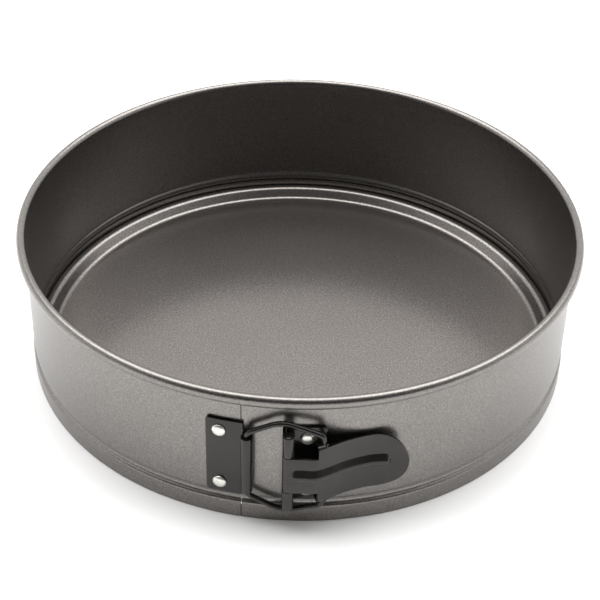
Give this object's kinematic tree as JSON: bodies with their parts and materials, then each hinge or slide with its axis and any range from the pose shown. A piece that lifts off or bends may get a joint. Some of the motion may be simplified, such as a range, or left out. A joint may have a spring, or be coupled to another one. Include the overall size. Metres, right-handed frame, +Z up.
{
  "type": "springform pan",
  "caption": "Round two-piece springform baking pan: loose base plate, split spring-steel ring with rolled rim, and a lever latch with wire loop.",
  "frame": {"origin": "on the pan's axis, at the flat underside of the base plate", "axes": "+Z up out of the open top, -Y towards the latch, +X to the right seen from the latch"},
  "size_m": [0.2616, 0.2692, 0.07],
  "materials": {
    "coated_steel_base": "satin non-stick coating with fine metallic speckle",
    "coated_steel_ring": "satin non-stick coating with fine metallic speckle",
    "black_latch": "satin black enamel on steel",
    "rivet_aluminium": "plain domed head"
  },
  "bodies": {
    "base": {"base_plate": "coated_steel_base"},
    "ring_right": {"band_right": "coated_steel_ring", "hinge_plate": "black_latch", "hinge_pin": "black_latch", "hinge_rivet_upper": "rivet_aluminium", "hinge_rivet_lower": "rivet_aluminium"},
    "ring_left": {"band_left": "coated_steel_ring", "keeper_plate": "black_latch", "keeper_rivet_upper": "rivet_aluminium", "keeper_rivet_lower": "rivet_aluminium"},
    "latch_lever": {"lever": "black_latch"},
    "latch_wire": {"wire_loop": "black_latch"}
  },
  "joints": [
    {"name": "band_lift", "type": "slide", "parent": "base", "child": "ring_right", "axis": [0, 0, 1], "range_m": [0, 0.09]},
    {"name": "lever_swing", "type": "hinge", "parent": "ring_right", "child": "latch_lever", "pos_m": [-0.0026, -0.1336, 0.0341], "axis": [0, 0, -1], "range_deg": [0, 110]},
    {"name": "band_spring", "type": "hinge", "parent": "ring_right", "child": "ring_left", "pos_m": [0.02275, 0.12901, 0.0341], "axis": [0, 0, -1], "range_deg": [0, 2.34]},
    {"name": "wire_swing", "type": "hinge", "parent": "ring_left", "child": "latch_wire", "pos_m": [-0.0197, -0.129, 0.0341], "axis": [0, 0, -1], "range_deg": [0, 32.26]}
  ],
  "couplings": [
    {"joint": "band_spring", "follows": "lever_swing", "ratio": 0.021282},
    {"joint": "wire_swing", "follows": "lever_swing", "ratio": 0.29329}
  ]
}
